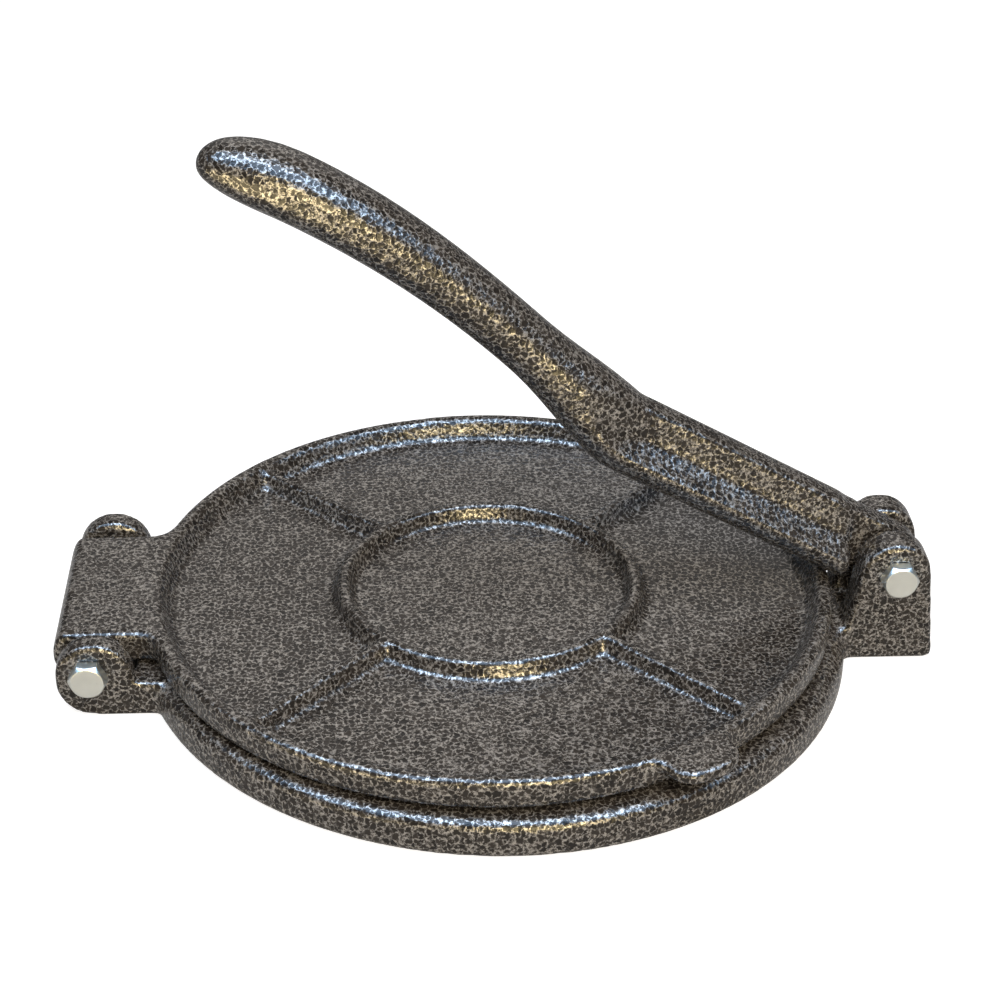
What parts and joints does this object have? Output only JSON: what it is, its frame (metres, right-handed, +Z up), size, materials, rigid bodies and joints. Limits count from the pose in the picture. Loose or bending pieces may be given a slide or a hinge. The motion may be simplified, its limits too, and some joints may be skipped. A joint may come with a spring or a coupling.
{
  "type": "tortilla press",
  "caption": "Cast-iron tortilla press: a round base, an upper plate hinged on one side and a long lever that bears down on the plate's rim from the other.",
  "frame": {"origin": "centre of the base disc, on the surface that the press stands on (within 1.5 mm of the middle of the whole press's footprint)", "axes": "+Z up from the table; +X towards the lever's clevis, -X towards the plate's hinge; both hinge axes run along Y"},
  "size_m": [0.2591, 0.21, 0.1596],
  "materials": {
    "iron": "hammertone dark grey paint",
    "zinc": "bright zinc plate"
  },
  "bodies": {
    "base": {"base_plate": "iron", "hinge_bolt": "zinc", "hinge_lock_washer": "zinc", "hinge_nut": "zinc", "lever_bolt": "zinc", "lever_lock_washer": "zinc", "lever_nut": "zinc"},
    "plate": {"upper_plate": "iron"},
    "lever": {"lever_handle": "iron"}
  },
  "joints": [
    {"name": "lever_pivot", "type": "hinge", "parent": "base", "child": "lever", "pos_m": [0.1178, 0, 0.029], "axis": [0, 1, 0], "range_deg": [0, 150]},
    {"name": "plate_hinge", "type": "hinge", "parent": "base", "child": "plate", "pos_m": [-0.117, 0, 0.0139], "axis": [0, -1, 0], "range_deg": [0, 105]}
  ],
  "couplings": [
    {"joint": "plate_hinge", "follows": "lever_pivot", "ratio": 0.08}
  ]
}
